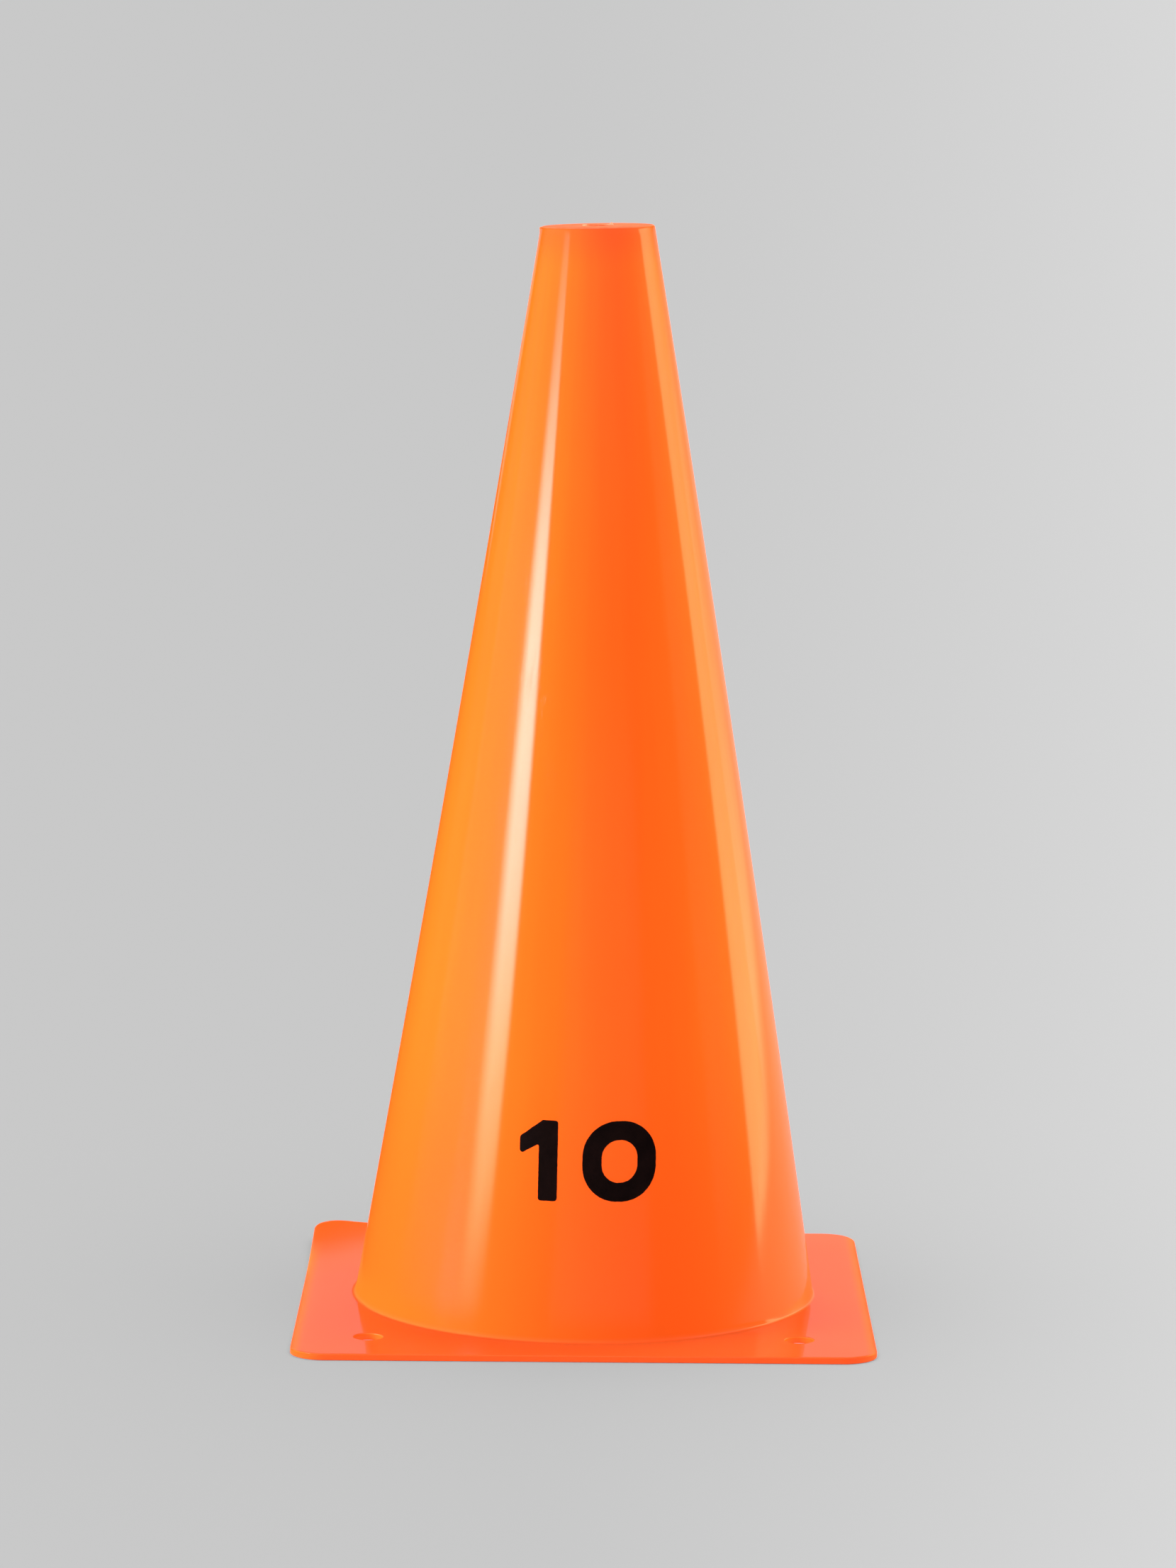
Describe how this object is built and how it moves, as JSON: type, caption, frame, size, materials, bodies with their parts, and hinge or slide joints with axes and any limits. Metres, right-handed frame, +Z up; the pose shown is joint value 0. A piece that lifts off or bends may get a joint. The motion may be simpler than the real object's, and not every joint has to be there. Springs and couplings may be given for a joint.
{
  "type": "training cone",
  "caption": "Hollow training cone, closed at its flat top, moulded in one with a thin square foot plate that has round corners and a peg hole near each corner.",
  "frame": {"origin": "centre of the foot plate's underside, where the part stands on the ground", "axes": "+Z up along the cone's axis; the plate's sides lie along X and Y; the front, which carries the print, faces -Y"},
  "size_m": [0.2, 0.2, 0.3803],
  "materials": {
    "orange_plastic": "glossy, as moulded, dyed through",
    "black_print": "one coat of black ink, satin"
  },
  "bodies": {
    "root": {"cone_moulding": "orange_plastic"}
  },
  "joints": []
}
